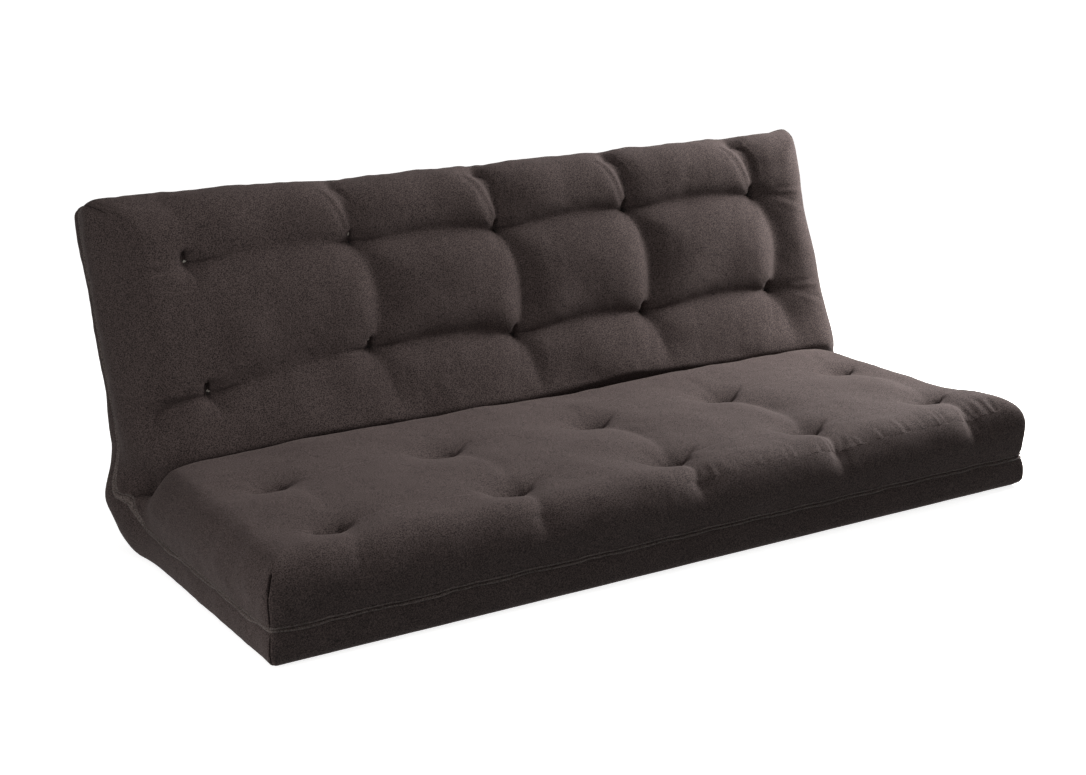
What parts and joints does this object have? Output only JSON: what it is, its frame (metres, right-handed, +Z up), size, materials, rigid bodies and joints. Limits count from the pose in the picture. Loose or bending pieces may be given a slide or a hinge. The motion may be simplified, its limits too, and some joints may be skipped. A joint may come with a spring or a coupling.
{
  "type": "futon mattress",
  "caption": "Tufted futon mattress folded into a seat and a reclined back, with a boxed casing, a closing seam and a filling zip.",
  "frame": {"origin": "centre of the seat's flat underside, which is what it rests on", "axes": "+X along the sofa, +Y from the seat's front edge to the rear, +Z up"},
  "size_m": [1.9119, 1.0722, 0.7787],
  "materials": {
    "microfibre_casing": "matte",
    "seam_band": "matte",
    "fibre_batt": "matte",
    "foam_core": "matte",
    "tuft_twine": "matte",
    "zip_tape": "matte",
    "zip_coil": "satin",
    "zip_metal": "satin"
  },
  "bodies": {
    "seat": {"fold_fill": "fibre_batt", "fold_lower_casing": "microfibre_casing", "fold_seam_band": "seam_band", "fold_upper_casing": "microfibre_casing", "seat_foam_core": "foam_core", "seat_lower_batt": "fibre_batt", "seat_lower_casing": "microfibre_casing", "seat_lower_knots": "tuft_twine", "seat_seam_band": "seam_band", "seat_tie_01": "tuft_twine", "seat_tie_02": "tuft_twine", "seat_tie_03": "tuft_twine", "seat_tie_04": "tuft_twine", "seat_tie_05": "tuft_twine", "seat_tie_06": "tuft_twine", "seat_tie_07": "tuft_twine", "seat_tie_08": "tuft_twine", "seat_tie_09": "tuft_twine", "seat_tie_10": "tuft_twine", "seat_upper_batt": "fibre_batt", "seat_upper_casing": "microfibre_casing", "seat_upper_knots": "tuft_twine", "zip_front_stop": "zip_metal", "zip_lower_coil": "zip_coil", "zip_lower_tape": "zip_tape", "zip_rear_stop": "zip_metal", "zip_upper_coil": "zip_coil", "zip_upper_tape": "zip_tape"},
    "back": {"back_foam_core": "foam_core", "back_lower_batt": "fibre_batt", "back_lower_casing": "microfibre_casing", "back_lower_knots": "tuft_twine", "back_seam_band": "seam_band", "back_tie_01": "tuft_twine", "back_tie_02": "tuft_twine", "back_tie_03": "tuft_twine", "back_tie_04": "tuft_twine", "back_tie_05": "tuft_twine", "back_tie_06": "tuft_twine", "back_tie_07": "tuft_twine", "back_tie_08": "tuft_twine", "back_tie_09": "tuft_twine", "back_tie_10": "tuft_twine", "back_upper_batt": "fibre_batt", "back_upper_casing": "microfibre_casing", "back_upper_knots": "tuft_twine"},
    "zip_slider": {"zip_slider": "zip_metal"},
    "zip_pull": {"zip_pull": "zip_metal"}
  },
  "joints": [
    {"name": "fold", "type": "hinge", "parent": "seat", "child": "back", "pos_m": [0, 0.36425, 0.16], "axis": [1, 0, 0], "range_deg": [-72.4, 17.6], "deforming": ["fold_fill", "fold_lower_casing", "fold_seam_band", "fold_upper_casing"]},
    {"name": "zip_travel", "type": "slide", "parent": "seat", "child": "zip_slider", "axis": [0, 1, 0], "range_m": [0, 0.42]},
    {"name": "zip_pull_swing", "type": "hinge", "parent": "zip_slider", "child": "zip_pull", "pos_m": [0.9568, -0.2832, 0.075], "axis": [0, 0, -1], "range_deg": [0, 170]}
  ]
}
